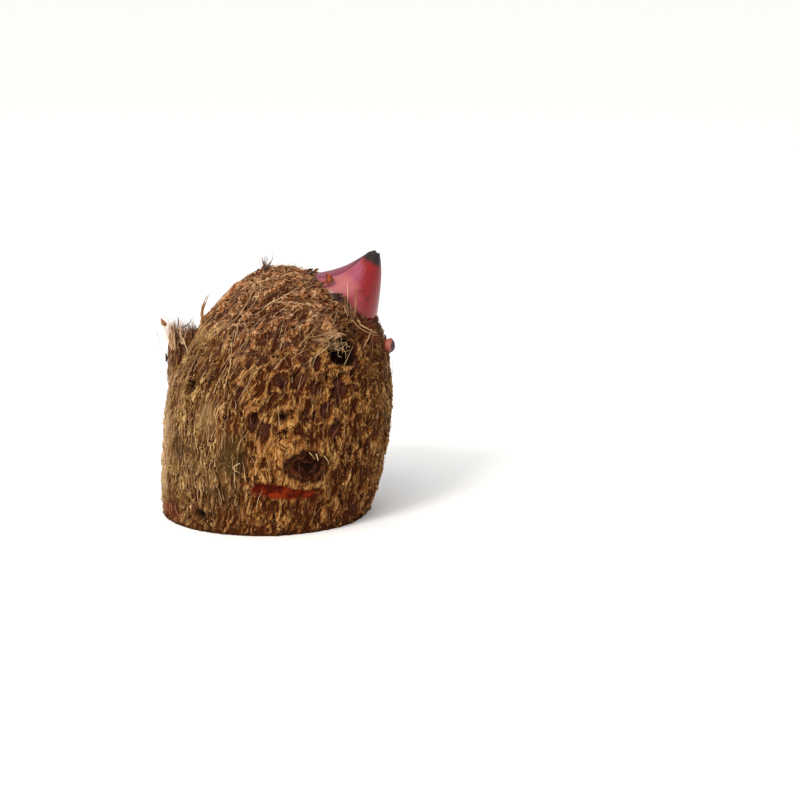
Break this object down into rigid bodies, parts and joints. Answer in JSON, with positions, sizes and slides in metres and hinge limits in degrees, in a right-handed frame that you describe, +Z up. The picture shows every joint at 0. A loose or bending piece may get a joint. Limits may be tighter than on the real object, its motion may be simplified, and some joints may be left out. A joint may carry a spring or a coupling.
{
  "type": "taro root",
  "caption": "Cut crown half of a taro corm with brown corky skin, standing on its flat cut face, with a pink leaf shoot at the top and a small side bud.",
  "frame": {"origin": "middle of the cut face that the piece stands on", "axes": "+Z up from the cut face, -Y the side with the scraped nick, +X the side that the shoot leans to"},
  "size_m": [0.1043, 0.1024, 0.1176],
  "materials": {
    "corky_skin": "dry fibrous cork",
    "shoot_sheath": "waxy, semi-gloss",
    "shoot_leaf": "waxy, semi-gloss",
    "side_bud": "waxy, satin"
  },
  "bodies": {
    "root": {"corm": "corky_skin", "shoot_sheath": "shoot_sheath", "shoot_leaf": "shoot_leaf", "side_bud": "side_bud"}
  },
  "joints": []
}
